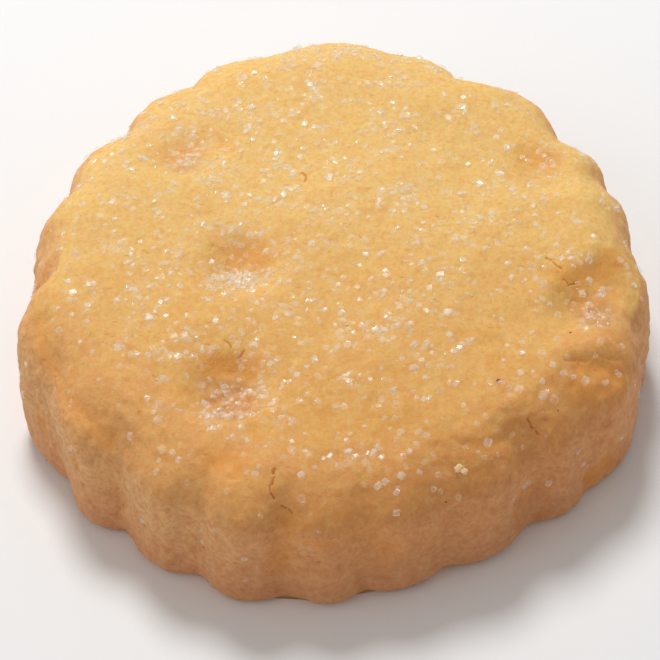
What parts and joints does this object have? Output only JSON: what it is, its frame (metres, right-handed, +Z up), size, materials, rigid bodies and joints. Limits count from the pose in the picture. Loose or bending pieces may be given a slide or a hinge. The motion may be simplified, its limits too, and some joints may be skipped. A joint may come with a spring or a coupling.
{
  "type": "shortbread biscuit",
  "caption": "Thick round shortbread biscuit with a soft shoulder, a fluted edge, pressed dimples and a flat underside.",
  "frame": {"origin": "on the flat underside, under the middle of the bounding box", "axes": "+Z up through the thickness, -Y towards the front as seen in the picture, +X to the right"},
  "size_m": [0.0554, 0.0568, 0.015],
  "materials": {
    "shortbread": "matt, fine sandy baked crumb, pale gold, a little browner in the dimples and low on the side",
    "sugar": "loose granulated sugar crystals, clear to milky, with small bright facets"
  },
  "bodies": {
    "root": {"biscuit": "shortbread"}
  },
  "joints": []
}
